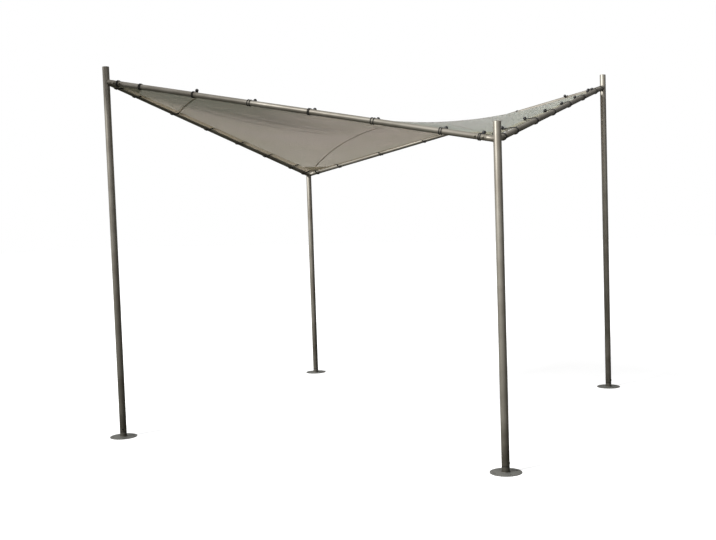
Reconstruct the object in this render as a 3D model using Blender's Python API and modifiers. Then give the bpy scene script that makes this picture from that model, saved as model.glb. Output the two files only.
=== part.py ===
"""Garden gazebo: four steel posts, four sloping tube beams and a saddle-shaped fabric sail.

Metres, +Z up. The origin lies on the floor, at the middle of the square of posts, and -Y is the front.
The sail hangs inside the square of beams on elastic ball ties, eight to a side.
"""

import math

import bmesh
import bpy
from mathutils import Matrix, Vector

# Driving dimensions of the frame
SIDE = 3.0
HIGH_JOINT = 2.66
LOW_JOINT = 2.04
POST_ABOVE_JOINT = 0.112
GAP = 0.0003
MERGE_DISTANCE = 0.00001

# Tubes
POST_RADIUS = 0.025
BEAM_RADIUS = 0.019
WALL = 0.0015
ROUND_STEPS = 24

# Sockets, measured along the beam from the post's axis
SOCKET_REACH = 0.065
SPIGOT_REACH = 0.165
SOCKET_WALL = 0.002
SOCKET_START = 0.008
MOUTH_CUTTER_DEPTH = 0.2

# Caps
CAP_THICKNESS = 0.003
CAP_PLUG = 0.02
CAP_EDGE = 0.001

# Feet
PLATE_RADIUS = 0.1
PLATE_THICKNESS = 0.004
PLATE_RIM = 0.001
WELD_RADIUS = 0.029
WELD_HEIGHT = 0.006
COLLAR_TOP = 0.039
FOOT_SPIGOT_TOP = 0.13
ANCHOR_CIRCLE = 0.075
ANCHOR_HOLE_RADIUS = 0.007
ANCHOR_HOLES = 4
ANCHOR_STEPS = 12
ANCHOR_CUTTER_DEPTH = 0.016

# Sail and hem, measured in plan from the beam's axis
HEM_OUTER = 0.042
HEM_WIDTH = 0.042
HEM_THICKNESS = 0.004
HEM_PANELS = 12
CORNER_CUT = 0.05
SAIL_THICKNESS = 0.003
SAIL_PANELS = 12
SAIL_SAG = 0.04

# Elastic ball ties, placed by shares of the beam's length from its high joint
TIE_CORNER = 0.037
TIE_FIRST = 0.105
TIE_LAST = 0.879
TIES_BETWEEN = 6
TIE_REACH = 0.063
BALL_RADIUS = 0.0125
BALL_FACETS = 1
BALL_SEAT = 0.8
CORD_RADIUS = 0.0025
CORD_ARC_STEPS = 4
CORD_ARC_START = math.radians(80)
CORD_ARC_END = math.radians(280)
CORDS_AT_BEAM = 0.008
CORDS_AT_BALL = 0.0032

# The turn that keeps a ball's facets clear of the strands' edges where they join
BALL_TURN = math.radians(17)
BALL_TURN_AXIS = Vector((1.0, 1.0, 0.0))

CORNERS = {
    "front_left": (-1, -1, HIGH_JOINT),
    "front_right": (1, -1, LOW_JOINT),
    "back_right": (1, 1, HIGH_JOINT),
    "back_left": (-1, 1, LOW_JOINT),
}

# Each side's high corner, its low corner, and its quarter turn from the front
SIDES = {
    "front": ("front_left", "front_right", 0),
    "right": ("back_right", "front_right", 1),
    "back": ("back_right", "back_left", 2),
    "left": ("front_left", "back_left", 3),
}


def clear_scene():
    for thing in list(bpy.data.objects):
        bpy.data.objects.remove(thing, do_unlink=True)


def new_collection(name):
    collection = bpy.data.collections.new(name)
    bpy.context.scene.collection.children.link(collection)
    return collection


def make_material(name, colour, metallic, roughness):
    material = bpy.data.materials.new(name)
    material.use_nodes = True
    shader = material.node_tree.nodes["Principled BSDF"]
    shader.inputs["Base Color"].default_value = (*colour, 1.0)
    shader.inputs["Metallic"].default_value = metallic
    shader.inputs["Roughness"].default_value = roughness
    return material


def add_object(name, mesh, material, collection, parent=None):
    mesh.name = name
    if not mesh.materials:
        mesh.materials.append(material)
    thing = bpy.data.objects.new(name, mesh)
    thing.parent = parent
    collection.objects.link(thing)
    return thing


def finished_mesh(bm, name):
    mesh = bpy.data.meshes.new(name)
    bm.to_mesh(mesh)
    bm.free()
    return mesh


def turned(name, profile, material, collection, parent, closed=False):
    """A profile of (radius, height) points turned round Z: closed for a tube, open for a solid."""
    bm = bmesh.new()
    points = [bm.verts.new((radius, 0.0, height)) for radius, height in profile]
    ends = points[1:] + points[:1] if closed else points[1:]
    for start, end in zip(points, ends):
        bm.edges.new((start, end))
    thing = add_object(name, finished_mesh(bm, name), material, collection, parent)
    screw = thing.modifiers.new("turn", "SCREW")
    screw.axis = "Z"
    screw.angle = 2 * math.pi
    screw.steps = ROUND_STEPS
    screw.render_steps = ROUND_STEPS
    screw.use_merge_vertices = True
    screw.merge_threshold = MERGE_DISTANCE
    screw.use_smooth_shade = True
    return thing


def tube_profile(radius, wall, low, high):
    return [(radius, high), (radius, low), (radius - wall, low), (radius - wall, high)]


def inner_fit(radius):
    """The radius that clears the inside of a faceted tube of this inner radius."""
    return radius * math.cos(math.pi / ROUND_STEPS) - GAP


def cut(thing, cutter):
    boolean = thing.modifiers.new("cut", "BOOLEAN")
    boolean.operation = "DIFFERENCE"
    boolean.object = cutter


def join(thing, other):
    boolean = thing.modifiers.new("join", "BOOLEAN")
    boolean.operation = "UNION"
    boolean.object = other


def hide_helper(thing):
    thing.hide_render = True
    thing.display_type = "WIRE"


def corner_point(corner):
    x, y, height = CORNERS[corner]
    return Vector((x * SIDE / 2, y * SIDE / 2, height))


def sail_height(x, y):
    """The saddle that four straight beams span, with the sag of the cloth towards its middle."""
    middle = (HIGH_JOINT + LOW_JOINT) / 2
    rise = (HIGH_JOINT - LOW_JOINT) / 2
    edge = SIDE / 2 - HEM_OUTER
    sag = SAIL_SAG * (1 - (x / edge) ** 2) * (1 - (y / edge) ** 2)
    return middle + rise * x * y / (SIDE / 2) ** 2 - sag


def lay_on_saddle(bm):
    for vert in bm.verts:
        vert.co.z = sail_height(vert.co.x, vert.co.y)


def solidify(thing, thickness):
    solid = thing.modifiers.new("thickness", "SOLIDIFY")
    solid.thickness = thickness
    solid.offset = 0.0


def make_foot(corner, material, collection, parent):
    """A round plate with a weld, a collar as wide as the post, and a spigot that the post slides over."""
    spigot = inner_fit(POST_RADIUS - WALL)
    profile = [
        (0.0, PLATE_THICKNESS),
        (spigot - SOCKET_WALL, PLATE_THICKNESS),
        (spigot - SOCKET_WALL, FOOT_SPIGOT_TOP),
        (spigot, FOOT_SPIGOT_TOP),
        (spigot, COLLAR_TOP),
        (POST_RADIUS, COLLAR_TOP),
        (POST_RADIUS, PLATE_THICKNESS + WELD_HEIGHT),
        (WELD_RADIUS, PLATE_THICKNESS),
        (PLATE_RADIUS - PLATE_RIM, PLATE_THICKNESS),
        (PLATE_RADIUS, PLATE_THICKNESS - PLATE_RIM),
        (PLATE_RADIUS, 0.0),
        (0.0, 0.0),
    ]
    foot = turned(f"foot_{corner}", profile, material, collection, parent)
    x, y, _ = corner_point(corner)
    foot.location = (x, y, 0.0)
    return foot


def make_anchor_cutter(corner, material, collection):
    """Four upright pins on the diagonals of a foot plate."""
    bm = bmesh.new()
    for hole in range(ANCHOR_HOLES):
        angle = 2 * math.pi * (hole + 0.5) / ANCHOR_HOLES
        made = bmesh.ops.create_cone(
            bm, cap_ends=True, segments=ANCHOR_STEPS, radius1=ANCHOR_HOLE_RADIUS,
            radius2=ANCHOR_HOLE_RADIUS, depth=ANCHOR_CUTTER_DEPTH)
        offset = (ANCHOR_CIRCLE * math.cos(angle), ANCHOR_CIRCLE * math.sin(angle), 0.0)
        bmesh.ops.translate(bm, verts=made["verts"], vec=offset)
    name = f"anchor_holes_{corner}"
    cutter = add_object(name, finished_mesh(bm, name), material, collection)
    x, y, _ = corner_point(corner)
    cutter.location = (x, y, 0.0)
    hide_helper(cutter)
    return cutter


def make_post(corner, material, collection, parent):
    joint = corner_point(corner)
    top = joint.z + POST_ABOVE_JOINT - CAP_THICKNESS
    profile = tube_profile(POST_RADIUS, WALL, COLLAR_TOP + GAP, top)
    post = turned(f"post_{corner}", profile, material, collection, parent, closed=True)
    post.location = (joint.x, joint.y, 0.0)


def make_cap(corner, material, collection, parent):
    """A flat disc with a plug that sits in the post's top."""
    plug = inner_fit(POST_RADIUS - WALL)
    profile = [
        (0.0, CAP_THICKNESS),
        (POST_RADIUS - CAP_EDGE, CAP_THICKNESS),
        (POST_RADIUS, CAP_THICKNESS - CAP_EDGE),
        (POST_RADIUS, GAP),
        (plug, GAP),
        (plug, -CAP_PLUG),
        (0.0, -CAP_PLUG),
    ]
    cap = turned(f"post_cap_{corner}", profile, material, collection, parent)
    joint = corner_point(corner)
    cap.location = (joint.x, joint.y, joint.z + POST_ABOVE_JOINT - CAP_THICKNESS)


def make_post_cutter(corner, material, collection):
    """The post's outside with its gap, which shapes the mouths of the two sockets on it."""
    bm = bmesh.new()
    bmesh.ops.create_cone(
        bm, cap_ends=True, segments=ROUND_STEPS, radius1=POST_RADIUS + GAP,
        radius2=POST_RADIUS + GAP, depth=MOUTH_CUTTER_DEPTH)
    name = f"post_mouth_{corner}"
    cutter = add_object(name, finished_mesh(bm, name), material, collection)
    cutter.location = corner_point(corner)
    hide_helper(cutter)
    return cutter


def make_mitre_cutter(name, joint, beam_direction, material, collection):
    """A block over the neighbouring socket's half of the corner, so that the two don't overlap."""
    to_middle = Vector((-math.copysign(1, joint.x), -math.copysign(1, joint.y), 0.0)).normalized()
    flat = Vector((beam_direction.x, beam_direction.y, 0.0))
    across = (to_middle - flat.normalized() * to_middle.dot(flat.normalized())).normalized()
    neighbour = (across - to_middle * across.dot(to_middle)).normalized()
    size = 2 * POST_RADIUS
    bm = bmesh.new()
    bmesh.ops.create_cube(bm, size=size)
    cutter = add_object(name, finished_mesh(bm, name), material, collection)
    cutter.location = joint + to_middle * size / 2 + neighbour * (size - GAP) / 2
    cutter.rotation_euler = (0.0, 0.0, math.atan2(to_middle.y, to_middle.x))
    hide_helper(cutter)
    return cutter


def make_socket(name, joint, direction, material, collection, parent):
    """A short tube on the post, stepped down to a spigot that fits inside the beam."""
    spigot = inner_fit(BEAM_RADIUS - WALL)
    bore = spigot - SOCKET_WALL
    profile = [
        (spigot, SPIGOT_REACH),
        (spigot, SOCKET_REACH),
        (BEAM_RADIUS, SOCKET_REACH),
        (BEAM_RADIUS, SOCKET_START),
        (bore, SOCKET_START),
        (bore, SPIGOT_REACH),
    ]
    socket = turned(name, profile, material, collection, parent, closed=True)
    socket.location = joint
    socket.rotation_euler = direction.to_track_quat("Z", "Y").to_euler()
    return socket


def make_beam(side, material, collection, parent):
    high, low = [corner_point(corner) for corner in SIDES[side][:2]]
    start = SOCKET_REACH + GAP
    end = (low - high).length - start
    profile = tube_profile(BEAM_RADIUS, WALL, start, end)
    beam = turned(f"beam_{side}", profile, material, collection, parent, closed=True)
    beam.location = high
    beam.rotation_euler = (low - high).to_track_quat("Z", "Y").to_euler()


def make_sail(material, collection, parent):
    """The sheet inside the hem, one continuous saddle."""
    bm = bmesh.new()
    half = SIDE / 2 - HEM_OUTER - HEM_WIDTH - GAP
    bmesh.ops.create_grid(bm, x_segments=SAIL_PANELS, y_segments=SAIL_PANELS, size=half)
    lay_on_saddle(bm)
    sail = add_object("sail", finished_mesh(bm, "sail"), material, collection, parent)
    solidify(sail, SAIL_THICKNESS)


def make_hem(side, material, collection, parent):
    """A doubled strip along one edge of the sail, mitred to its neighbours and cut off at the corner."""
    outer = SIDE / 2 - HEM_OUTER
    inner = outer - HEM_WIDTH
    bm = bmesh.new()
    bmesh.ops.create_grid(bm, x_segments=HEM_PANELS, y_segments=1, size=1.0)
    bmesh.ops.scale(bm, verts=bm.verts, vec=(outer, HEM_WIDTH / 2, 1.0))
    bmesh.ops.translate(bm, verts=bm.verts, vec=(0.0, -(outer + inner) / 2, 0.0))
    for end in (-1, 1):
        for point, normal in (
            ((-end * GAP, 0.0, 0.0), (end, 1.0, 0.0)),
            ((end * outer, -(outer - CORNER_CUT), 0.0), (end, -1.0, 0.0)),
        ):
            everything = bm.verts[:] + bm.edges[:] + bm.faces[:]
            bmesh.ops.bisect_plane(bm, geom=everything, plane_co=point, plane_no=normal, clear_outer=True)
    quarter_turns = SIDES[side][2]
    for vert in bm.verts:
        for _ in range(quarter_turns):
            vert.co.x, vert.co.y = -vert.co.y, vert.co.x
    lay_on_saddle(bm)
    hem = add_object(f"hem_{side}", finished_mesh(bm, f"hem_{side}"), material, collection, parent)
    solidify(hem, HEM_THICKNESS)
    hem.modifiers.new("triangles", "TRIANGULATE")
    return hem


def tie_fractions():
    """Where the ties sit between a side's two joints: one near each corner and six evenly between."""
    step = (TIE_LAST - TIE_FIRST) / (TIES_BETWEEN - 1)
    between = [TIE_FIRST + step * number for number in range(TIES_BETWEEN)]
    return [TIE_CORNER] + between + [1 - TIE_CORNER]


def tie_frame(side, fraction):
    """A tie's point on the beam's axis, and the directions along the beam, inward and up from it."""
    high, low = [corner_point(corner) for corner in SIDES[side][:2]]
    along = (low - high).normalized()
    middle = (low + high) / 2
    inward = Vector((-middle.x, -middle.y, 0.0)).normalized()
    up = inward.cross(along)
    if up.z < 0:
        up.negate()
    return high.lerp(low, fraction), along, inward, up


def tie_seat(side, fraction):
    """The point on the saddle where a tie passes through the hem."""
    point, _, inward, _ = tie_frame(side, fraction)
    seat = point + inward * TIE_REACH
    seat.z = sail_height(seat.x, seat.y)
    return seat


def ball_centre(side, fraction):
    lift = HEM_THICKNESS / 2 + BALL_RADIUS * BALL_SEAT
    return tie_seat(side, fraction) + Vector((0.0, 0.0, lift))


def cord_points(side, fraction, hand):
    """One strand's closed loop: from the ball, round the beam, and back up through the hem."""
    point, along, inward, up = tie_frame(side, fraction)
    at_beam = along * CORDS_AT_BEAM * hand
    at_ball = along * CORDS_AT_BALL * hand
    step = (CORD_ARC_END - CORD_ARC_START) / CORD_ARC_STEPS
    radius = (BEAM_RADIUS + CORD_RADIUS + GAP) / math.cos(step / 2)
    angles = [CORD_ARC_START + step * number for number in range(CORD_ARC_STEPS + 1)]
    points = [ball_centre(side, fraction) + at_ball]
    for angle in angles:
        points.append(point + at_beam + radius * (math.cos(angle) * inward + math.sin(angle) * up))
    drop = Vector((0.0, 0.0, -HEM_THICKNESS / 2 - 2 * CORD_RADIUS))
    points.append(tie_seat(side, fraction) + drop + at_ball)
    return points


def make_cords(side, material, collection):
    """Both strands of each tie on a side, as loops of square section made into one mesh."""
    name = f"tie_cords_{side}"
    curve = bpy.data.curves.new(name, "CURVE")
    curve.dimensions = "3D"
    curve.bevel_depth = CORD_RADIUS
    curve.bevel_resolution = 0
    for fraction in tie_fractions():
        for hand in (-1, 1):
            loop = cord_points(side, fraction, hand)
            spline = curve.splines.new("POLY")
            spline.points.add(len(loop) - 1)
            for spot, place in zip(spline.points, loop):
                spot.co = (*place, 1.0)
            spline.use_cyclic_u = True
    drawn = bpy.data.objects.new(name, curve)
    collection.objects.link(drawn)
    mesh = bpy.data.meshes.new_from_object(drawn.evaluated_get(bpy.context.evaluated_depsgraph_get()))
    bpy.data.objects.remove(drawn)
    bm = bmesh.new()
    bm.from_mesh(mesh)
    bmesh.ops.remove_doubles(bm, verts=bm.verts, dist=MERGE_DISTANCE)
    bmesh.ops.triangulate(bm, faces=bm.faces)
    cords = add_object(name, finished_mesh(bm, name), material, collection)
    hide_helper(cords)
    return cords


def make_balls(side, material, collection):
    name = f"tie_balls_{side}"
    bm = bmesh.new()
    for fraction in tie_fractions():
        turn = Matrix.Rotation(BALL_TURN, 4, BALL_TURN_AXIS)
        place = Matrix.Translation(ball_centre(side, fraction)) @ turn
        bmesh.ops.create_icosphere(bm, subdivisions=BALL_FACETS, radius=BALL_RADIUS, matrix=place)
    balls = add_object(name, finished_mesh(bm, name), material, collection)
    hide_helper(balls)
    return balls


def build():
    clear_scene()
    parts = new_collection("garden_gazebo")
    helpers = new_collection("cutters")
    steel = make_material("frame", (0.29, 0.26, 0.21), 0.6, 0.4)
    plate = make_material("foot", (0.15, 0.15, 0.14), 0.5, 0.5)
    plastic = make_material("cap", (0.22, 0.2, 0.17), 0.3, 0.5)
    cloth = make_material("sail", (0.33, 0.31, 0.27), 0.0, 0.85)
    hem_cloth = make_material("hem", (0.3, 0.29, 0.24), 0.0, 0.85)
    elastic = make_material("tie", (0.02, 0.02, 0.02), 0.0, 0.6)
    whole = bpy.data.objects.new("gazebo", None)
    parts.objects.link(whole)
    for corner in CORNERS:
        foot = make_foot(corner, plate, parts, whole)
        cut(foot, make_anchor_cutter(corner, plate, helpers))
        make_post(corner, steel, parts, whole)
        make_cap(corner, plastic, parts, whole)
    mouths = {corner: make_post_cutter(corner, steel, helpers) for corner in CORNERS}
    for side, (high, low, _) in SIDES.items():
        make_beam(side, steel, parts, whole)
        for level, here, there in (("high", high, low), ("low", low, high)):
            joint = corner_point(here)
            direction = (corner_point(there) - joint).normalized()
            socket = make_socket(f"socket_{side}_{level}", joint, direction, steel, parts, whole)
            cut(socket, mouths[here])
            cut(socket, make_mitre_cutter(f"mitre_{side}_{level}", joint, direction, steel, helpers))
        hem = make_hem(side, hem_cloth, parts, whole)
        join(hem, make_cords(side, elastic, helpers))
        join(hem, make_balls(side, elastic, helpers))
    make_sail(cloth, parts, whole)


build()
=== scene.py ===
# %% [markdown]
# # A garden gazebo with a saddle sail
#
# Four round steel posts, two tall and two short, stand on round foot plates. Four straight tubes slope from
# the tall posts down to the short ones, and a square sheet of coated polyester hangs inside them on elastic
# ball ties. With corners high and low by turns, the sheet is a saddle.
#
# The frame already has every piece at its real size and place. Here each one gets its finer form and its
# finish, in the frame's own coordinates: metres, +Z up, with the front along -Y.

# %% Load the frame
from math import copysign, cos, exp, pi, radians, sin, sqrt

import bmesh
import bpy
from mathutils import Matrix, Vector, noise


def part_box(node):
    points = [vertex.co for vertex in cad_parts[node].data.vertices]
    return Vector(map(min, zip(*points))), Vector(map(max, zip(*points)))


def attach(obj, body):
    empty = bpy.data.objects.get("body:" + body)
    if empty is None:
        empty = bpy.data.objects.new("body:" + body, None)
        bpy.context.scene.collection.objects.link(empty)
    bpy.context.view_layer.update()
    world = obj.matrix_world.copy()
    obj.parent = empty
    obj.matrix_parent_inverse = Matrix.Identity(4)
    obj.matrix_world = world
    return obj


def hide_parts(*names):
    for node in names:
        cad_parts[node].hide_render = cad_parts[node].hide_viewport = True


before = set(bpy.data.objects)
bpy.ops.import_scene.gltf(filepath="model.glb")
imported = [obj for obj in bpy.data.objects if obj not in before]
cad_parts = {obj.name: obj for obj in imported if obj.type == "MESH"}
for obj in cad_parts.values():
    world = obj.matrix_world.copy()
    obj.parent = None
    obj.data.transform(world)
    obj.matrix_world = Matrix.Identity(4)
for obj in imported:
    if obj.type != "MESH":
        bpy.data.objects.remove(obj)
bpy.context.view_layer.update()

print("frame:", len(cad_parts), "nodes")

# %% [markdown]
# ## Reading the frame
# The posts' places are read from the frame's boxes, so nothing is measured twice. A foot plate's middle
# gives a corner in plan, and the joint where the beams' axes meet the post's lies a fixed length below the
# cap's top. Each side runs from its high corner to its low one.

# %% Corners and beams
POST_ABOVE_JOINT = 0.112
POST_RADIUS = 0.025
BEAM_RADIUS = 0.019
UP = Vector((0.0, 0.0, 1.0))

CORNERS = ("front_left", "front_right", "back_right", "back_left")
SIDES = {
    "front": ("front_left", "front_right"),
    "right": ("back_right", "front_right"),
    "back": ("back_right", "back_left"),
    "left": ("front_left", "back_left"),
}


def find_joint(corner):
    """Where the axes of a corner's two beams meet the post's axis."""
    low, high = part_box(f"foot_{corner}")
    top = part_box(f"post_cap_{corner}")[1].z
    return Vector(((low.x + high.x) / 2, (low.y + high.y) / 2, top - POST_ABOVE_JOINT))


def beam_end(side, level):
    """The joint at a beam's high or low end, and the direction in which the beam leaves it."""
    here, there = SIDES[side] if level == "high" else reversed(SIDES[side])
    return JOINTS[here], (JOINTS[there] - JOINTS[here]).normalized()


def outward_of(side):
    """The level direction from the gazebo's middle to the middle of a side."""
    middle = sum((JOINTS[corner] for corner in SIDES[side]), Vector()) / 2
    return Vector((middle.x, middle.y, 0.0)).normalized()


def turn_to(way):
    """The rotation that turns Z to this way."""
    return way.to_track_quat("Z", "Y").to_matrix().to_4x4()


def stand_at(corner):
    """The matrix that moves a piece from the origin to a post's axis."""
    return Matrix.Translation((JOINTS[corner].x, JOINTS[corner].y, 0.0))


JOINTS = {corner: find_joint(corner) for corner in CORNERS}
HALF_SIDE = JOINTS["front_right"].x
HIGH = JOINTS["front_left"].z
LOW = JOINTS["front_right"].z
print("joints:", JOINTS)

# %% [markdown]
# ## The camera
# The photograph was taken at eye height, from in front and a little to the right, nearly eight metres from
# the gazebo's middle. Three turns, to the left, down and a slight roll, were fitted to the posts' feet and
# tops.

# %% Camera
EYE = Vector((3.3136, -7.063, 1.6155))
TURN_LEFT = 0.464
TURN_UP = -0.058
ROLL = -0.034
FOCAL_PIXELS = 953.0
FRAME_PIXELS = 716.0
SENSOR_MM = 36.0


def add_object(name, data):
    made = bpy.data.objects.new(name, data)
    bpy.context.scene.collection.objects.link(made)
    return made


camera = add_object("camera", bpy.data.cameras.new("camera"))
camera.data.sensor_width = SENSOR_MM
camera.data.lens = SENSOR_MM * FOCAL_PIXELS / FRAME_PIXELS
camera.matrix_world = (Matrix.Translation(EYE) @ Matrix.Rotation(TURN_LEFT, 4, "Z")
                       @ Matrix.Rotation(pi / 2 + TURN_UP, 4, "X") @ Matrix.Rotation(ROLL, 4, "Z"))
bpy.context.scene.camera = camera
print("lens:", round(camera.data.lens, 2), "mm")

# %% [markdown]
# ## Shader maths as Python
# Finishes are built from nodes, and most nodes are sums. The class below wraps a node's socket so that a
# sum on it adds the Math node that does it: `1 - mask` or `grain * 0.5` reads as it would on numbers. Every
# other node comes from one method, which sets the node first and then fills its sockets.

# %% Sockets that take part in sums
class Signal:
    """A node's output socket: sums on it become Math nodes of the same finish."""

    def __init__(self, tree, socket):
        self.tree = tree
        self.socket = socket

    def node(self, kind, settings, sockets, output=0):
        """Adds a node: its settings, and then the values or links of its sockets."""
        made = self.tree.nodes.new("ShaderNode" + kind)
        for name, value in settings.items():
            setattr(made, name, value)
        for name, value in sockets.items():
            if isinstance(value, Signal):
                self.tree.links.new(value.socket, made.inputs[name])
            else:
                made.inputs[name].default_value = value
        return Signal(self.tree, made.outputs[output])

    def maths(self, operation, *values):
        return self.node("Math", {"operation": operation}, dict(enumerate(values)))

    def __add__(self, other):
        return self.maths("ADD", self, other)

    def __sub__(self, other):
        return self.maths("SUBTRACT", self, other)

    def __rsub__(self, other):
        return self.maths("SUBTRACT", other, self)

    def __mul__(self, other):
        return self.maths("MULTIPLY", self, other)

    def __lt__(self, other):
        return self.maths("LESS_THAN", self, other)

    def __abs__(self):
        return self.maths("ABSOLUTE", self)

    def sine(self):
        return self.maths("SINE", self)

    def rise(self, low, high):
        """0 below low, 1 above high, and smooth between. With high below low it falls instead."""
        return self.node("MapRange", {"interpolation_type": "SMOOTHSTEP"},
                         {"Value": self, "From Min": low, "From Max": high})


# %% [markdown]
# A finish is a Principled BSDF plus the few sources that its pattern reads. Object coordinates hold the
# pattern still on the piece, because every piece has its place in its mesh. Thin cloth lets light through,
# which the finish calls its glow: subsurface scattering, deeper than the cloth is thick.

# %% A finish and what it reads
GLOW_DEPTH = 0.0125
GLOW_COLOUR = (1.0, 0.895, 0.835)
COAT_BLUR = 0.35


class Finish(Signal):
    """A material with a Principled BSDF. Its own socket is the shader's output."""

    def __init__(self, name, roughness, metallic=0.0, coat=0.0, sheen=0.0, specular=0.5, glow=0.0):
        self.material = bpy.data.materials.new(name)
        self.material.use_nodes = True
        tree = self.material.node_tree
        self.shader = tree.nodes["Principled BSDF"]
        super().__init__(tree, self.shader.outputs[0])
        for socket, value in (("Metallic", metallic), ("Roughness", roughness), ("Coat Weight", coat),
                              ("Coat Roughness", COAT_BLUR), ("Sheen Weight", sheen),
                              ("Specular IOR Level", specular), ("Subsurface Weight", glow),
                              ("Subsurface Scale", GLOW_DEPTH), ("Subsurface Radius", GLOW_COLOUR)):
            self.shader.inputs[socket].default_value = value

    def place(self):
        return self.node("TexCoord", {}, {}, output="Object")

    def split(self, vector):
        parts = self.node("SeparateXYZ", {}, {0: vector}).socket.node
        return [Signal(self.tree, output) for output in parts.outputs]

    def stretch(self, vector, scale):
        return self.node("Mapping", {}, {"Vector": vector, "Scale": scale})

    def cloud(self, vector, scale, detail=3.0, roughness=0.5):
        """Soft noise from 0 to 1, with about this many lumps to a metre."""
        return self.node("TexNoise", {},
                         {"Vector": vector, "Scale": scale, "Detail": detail, "Roughness": roughness})

    def mix(self, factor, first, second):
        return self.node("Mix", {"data_type": "RGBA"},
                         {0: factor, 6: colour(first), 7: colour(second)}, output=2)

    def feed(self, socket, value):
        self.tree.links.new(value.socket, self.shader.inputs[socket])

    def bump(self, height, depth):
        """Raises the surface by the height signal, in metres once it is multiplied by the depth."""
        made = self.node("Bump", {}, {"Height": height, "Distance": depth, "Strength": 1.0})
        self.feed("Normal", made)


def colour(value):
    """Turns a painter's colour, 0 to 255, into light. A socket or a light's own colour stays as it is."""
    if isinstance(value, Signal) or len(value) == 4:
        return value
    return (*[(part / 255) ** 2.2 for part in value], 1.0)


# %% [markdown]
# ## Powder coat
# The tubes are powder coated in a taupe with a little metal flake: a satin skin, almost smooth, with small
# scuffs and the fine ripple called orange peel. Towards the ground the coat is rougher, and its colour is a
# painted shade, darker in patches. More painted shade darkens the lowest part and a ring at the collar, and
# a painted highlight lightens the flat tops of the foot plates.

# %% The frame's powder coat
TAUPE_LIGHT = (152, 147, 136)
TAUPE_DARK = (133, 127, 116)
# The next two colours are painted shade, low on the posts and at the collar, and the three heights after
# them say where it lies.
TAUPE_SHADED = (78, 74, 64)
SHADE_DARK = (40, 38, 34)
GROUND_SHADE_TOP = 0.95
BASE_SHADE_TOP = 0.3
BASE_SHADE_FULL = 0.05
PLATE_TOP = 0.004
COLLAR_TOP = 0.039


def make_powder_coat(name, light, dark, shaded, top_light):
    coat = Finish(name, roughness=0.45, metallic=0.5, coat=0.12)
    place = coat.place()
    height = coat.split(place)[2]
    patches = coat.cloud(place, 5.0)
    flake = coat.cloud(place, 1400.0, detail=1.0)
    scuffs = coat.cloud(coat.stretch(place, (60.0, 60.0, 9.0)), 1.0, detail=4.0).rise(0.66, 0.72)
    # Painted shade: the colour darkens in patches towards the ground.
    ground_shade = height.rise(GROUND_SHADE_TOP, 0.0)
    base = coat.mix(patches.rise(0.35, 0.65), light, dark)
    base = coat.mix(ground_shade * 0.75 * patches.rise(0.2, 0.8) + ground_shade * 0.2, base, shaded)
    # Painted shade: darker still over the lowest part of each post.
    base = coat.mix(height.rise(BASE_SHADE_TOP, BASE_SHADE_FULL) * 0.3, base, SHADE_DARK)
    # Painted shade: a dark ring round the top of the foot's collar.
    above = height - COLLAR_TOP
    base = coat.mix(above.rise(-0.008, -0.002) * above.rise(0.01, 0.003) * 0.6, base, SHADE_DARK)
    # Painted highlight: a lighter band at the height of the plate's flat top.
    above = height - PLATE_TOP
    base = coat.mix(above.rise(0.003, 0.001) * above.rise(-0.0012, -0.0004), base, top_light)
    base = coat.mix(scuffs * 0.25, base, TAUPE_DARK)
    base = coat.mix(flake.rise(0.62, 0.75) * 0.25, base, TAUPE_LIGHT)
    coat.feed("Base Color", base)
    coat.feed("Roughness", patches * 0.12 + scuffs * 0.15 + ground_shade * 0.15 + 0.38)
    ripple = coat.cloud(place, 500.0, detail=2.0)
    coat.bump(ripple + flake * 0.3, 0.00003)
    return coat.material


FRAME_COAT = make_powder_coat("frame", TAUPE_LIGHT, TAUPE_DARK, TAUPE_SHADED, TAUPE_SHADED)
FOOT_LIGHT = (128, 125, 116)
FOOT_DARK = (96, 93, 85)
# Painted shade low on the feet, and a painted highlight on the plates' flat tops.
FOOT_SHADED = (78, 75, 66)
FOOT_TOP_LIGHT = (126, 126, 121)
FOOT_COAT = make_powder_coat("foot", FOOT_LIGHT, FOOT_DARK, FOOT_SHADED, FOOT_TOP_LIGHT)
print("powder coats:", FRAME_COAT.name, FOOT_COAT.name)

# %% [markdown]
# ## Moulded caps, bolts and black ties
# The post caps are moulded plastic in the frame's colour, with the faint mottle of a textured mould. One
# recipe serves three metals, each duller in patches: bright zinc for the eyelets, weathered zinc for the
# bolts and dark steel for the screws. The ties are black elastic with a woven jacket, so their bump is a
# mesh of small cells, and the balls are smooth black plastic.

# %% Plastic, zinc and elastic
CAP_COLOUR = (128, 122, 110)
ZINC_BRIGHT = (205, 203, 192)
ZINC_DULL = (158, 155, 145)
BOLT_BRIGHT = (128, 124, 114)
BOLT_DULL = (92, 88, 78)
SCREW_LIGHT = (50, 48, 45)
SCREW_DARK = (30, 29, 27)
ELASTIC_BLACK = (30, 29, 28)
ELASTIC_GREY = (52, 49, 46)
BALL_BLACK = (34, 34, 36)


def make_cap_plastic():
    plastic = Finish("cap", roughness=0.5)
    place = plastic.place()
    mottle = plastic.cloud(place, 40.0)
    grain = plastic.cloud(place, 1500.0, detail=2.0)
    plastic.feed("Base Color", plastic.mix(mottle, CAP_COLOUR, TAUPE_DARK))
    plastic.feed("Roughness", mottle * 0.15 + 0.42)
    plastic.bump(grain, 0.00008)
    return plastic.material


def make_metal(name, bright, dull, roughness):
    metal = Finish(name, roughness, metallic=1.0)
    place = metal.place()
    patches = metal.cloud(place, 220.0)
    metal.feed("Base Color", metal.mix(patches.rise(0.35, 0.7), bright, dull))
    metal.feed("Roughness", patches * 0.3 + (roughness - 0.1))
    metal.bump(metal.cloud(place, 2500.0, detail=2.0), 0.00003)
    return metal.material


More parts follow.
